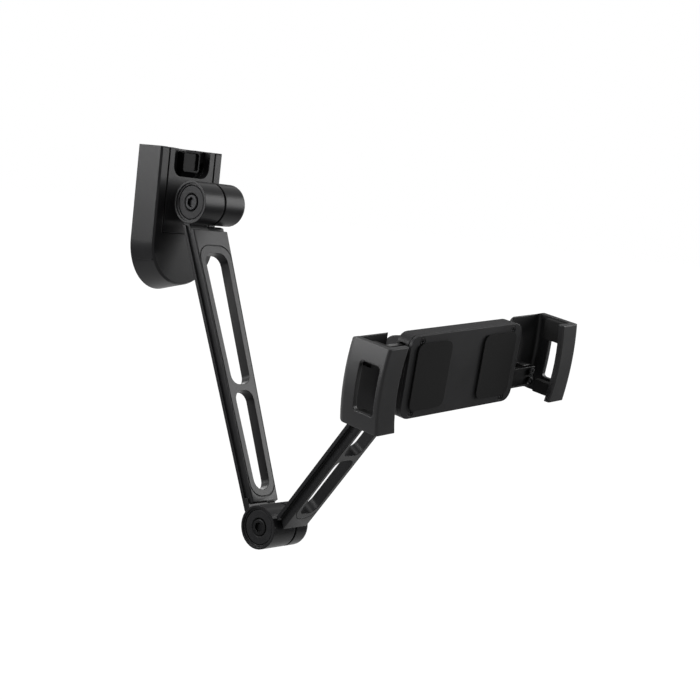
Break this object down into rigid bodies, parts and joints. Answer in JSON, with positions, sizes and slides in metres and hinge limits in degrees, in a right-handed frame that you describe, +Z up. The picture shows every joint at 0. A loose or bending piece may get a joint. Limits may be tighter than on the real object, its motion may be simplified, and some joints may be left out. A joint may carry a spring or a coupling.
{
  "type": "tablet wall mount",
  "caption": "Folding wall mount that holds a tablet between two sliding jaws: a housing with a slide-in plate, hinged slotted arms, a tilting head and a clamped ball joint",
  "frame": {"origin": "centre of the flat back that lies on the wall", "axes": "+X to the right along the wall as seen from the room, +Y into the wall, +Z up"},
  "size_m": [0.1555, 0.2394, 0.2117],
  "materials": {
    "satin_black_metal": "die-cast aluminium, satin black powder coat",
    "dark_disc": "turned disc, black anodised",
    "black_plastic": "moulded black plastic, fine satin texture",
    "gloss_black_catch": "smooth black plastic",
    "black_rubber": "soft black rubber",
    "black_oxide_steel": "steel with a black oxide finish",
    "plain_steel": "plain bright steel",
    "nylon": "black nylon"
  },
  "bodies": {
    "base": {"wall_housing": "satin_black_metal", "slide_plate": "satin_black_metal", "catch_spring": "plain_steel", "wall_hinge_bolt": "black_oxide_steel", "wall_hinge_washer": "nylon", "wall_hinge_nut": "black_oxide_steel", "wall_hinge_cap": "black_plastic"},
    "catch": {"release_catch": "gloss_black_catch", "catch_clip": "plain_steel"},
    "wall_arm_body": {"wall_arm": "satin_black_metal", "wall_hinge_disc": "dark_disc", "elbow_disc": "dark_disc"},
    "front_arm_body": {"front_arm": "satin_black_metal", "elbow_bolt": "black_oxide_steel", "elbow_washer": "nylon", "elbow_nut": "black_oxide_steel", "elbow_cap": "black_plastic"},
    "head": {"head_fork": "satin_black_metal", "head_bolt": "black_oxide_steel", "head_nut": "black_oxide_steel", "ball_stud": "black_oxide_steel"},
    "tilt_band": {"ball_band": "nylon"},
    "pan_seat": {"ball_seat": "nylon"},
    "holder": {"holder_back": "black_plastic", "holder_front": "black_plastic", "cover_screw_1": "black_oxide_steel", "cover_screw_2": "black_oxide_steel", "cover_screw_3": "black_oxide_steel", "cover_screw_4": "black_oxide_steel", "front_pad_left": "black_rubber", "front_pad_right": "black_rubber", "pinion_washer": "plain_steel"},
    "collar": {"clamp_collar": "black_plastic"},
    "pinion_body": {"pinion": "black_plastic"},
    "left_jaw_body": {"left_jaw": "black_plastic", "left_rack": "black_oxide_steel", "left_pad_lower": "black_rubber", "left_pad_upper": "black_rubber", "left_jaw_screw_lower": "black_oxide_steel", "left_jaw_screw_upper": "black_oxide_steel"},
    "right_jaw_body": {"right_jaw": "black_plastic", "right_rack": "black_oxide_steel", "right_pad_lower": "black_rubber", "right_pad_upper": "black_rubber", "right_jaw_screw_lower": "black_oxide_steel", "right_jaw_screw_upper": "black_oxide_steel"}
  },
  "joints": [
    {"name": "catch_press", "type": "slide", "parent": "base", "child": "catch", "axis": [0, 1, 0], "range_m": [0, 0.003], "stiffness_N_per_m": 400, "springref_m": -0.003, "deforming": ["catch_spring"]},
    {"name": "wall_hinge_turn", "type": "hinge", "parent": "base", "child": "wall_arm_body", "pos_m": [0, -0.0352, 0.0114], "axis": [1, 0, 0], "range_deg": [-156.9, 23.1]},
    {"name": "elbow_turn", "type": "hinge", "parent": "wall_arm_body", "child": "front_arm_body", "pos_m": [0, -0.10774, -0.15868], "axis": [-1, 0, 0], "range_deg": [-121.3, 55]},
    {"name": "head_hinge_turn", "type": "hinge", "parent": "front_arm_body", "child": "head", "pos_m": [0, -0.18394, -0.05212], "axis": [1, 0, 0], "range_deg": [-145, 25]},
    {"name": "ball_tilt", "type": "hinge", "parent": "head", "child": "tilt_band", "pos_m": [0, -0.20406, -0.05398], "axis": [1, 0, 0], "range_deg": [-12, 12]},
    {"name": "ball_pan", "type": "hinge", "parent": "tilt_band", "child": "pan_seat", "pos_m": [0, -0.20406, -0.05398], "axis": [0, -0.0924, 0.9957], "range_deg": [-12, 12]},
    {"name": "ball_roll", "type": "hinge", "parent": "pan_seat", "child": "holder", "pos_m": [0, -0.20406, -0.05398], "axis": [0.0535, 0.987, 0.1513], "continuous": true},
    {"name": "collar_turn", "type": "hinge", "parent": "holder", "child": "collar", "pos_m": [0, -0.20406, -0.05398], "axis": [0.0535, 0.987, 0.1513], "range_deg": [0, 270]},
    {"name": "left_jaw_slide", "type": "slide", "parent": "holder", "child": "left_jaw_body", "axis": [-0.993, 0.0686, -0.0965], "range_m": [-0.0135, 0.022]},
    {"name": "right_jaw_slide", "type": "slide", "parent": "holder", "child": "right_jaw_body", "axis": [0.993, -0.0686, 0.0965], "range_m": [-0.0135, 0.022]},
    {"name": "pinion_turn", "type": "hinge", "parent": "holder", "child": "pinion_body", "pos_m": [-0.00052, -0.21363, -0.05545], "axis": [0.0535, 0.987, 0.1513], "range_deg": [-253, 155.5]}
  ],
  "couplings": [
    {"joint": "right_jaw_slide", "follows": "left_jaw_slide", "ratio": 1},
    {"joint": "pinion_turn", "follows": "left_jaw_slide", "rad_per_m": -200}
  ]
}
